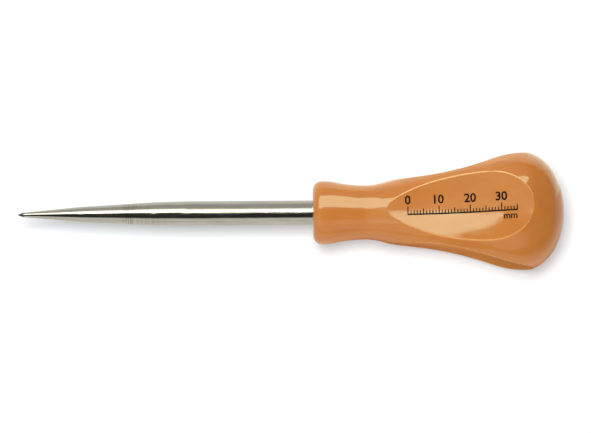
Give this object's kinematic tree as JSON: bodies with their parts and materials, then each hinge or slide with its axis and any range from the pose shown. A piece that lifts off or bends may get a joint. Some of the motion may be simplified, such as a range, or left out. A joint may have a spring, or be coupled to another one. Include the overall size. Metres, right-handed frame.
{
  "type": "bradawl",
  "caption": "Hand awl with a long tapered round steel blade and a glossy pear-shaped handle with scooped facets.",
  "frame": {"origin": "on the tool's axis, in the plane of the handle's front face", "axes": "+X along the tool's axis from the point to the butt; +Z out of the middle of the printed facet"},
  "size_m": [0.1758, 0.037, 0.037],
  "materials": {
    "steel": "finely ground and polished, bright",
    "handle_plastic": "glossy orange-brown moulding",
    "print_ink": "black pad-printed ink film, on the facet that faces +Z"
  },
  "bodies": {
    "root": {"blade": "steel", "handle": "handle_plastic"}
  },
  "joints": []
}
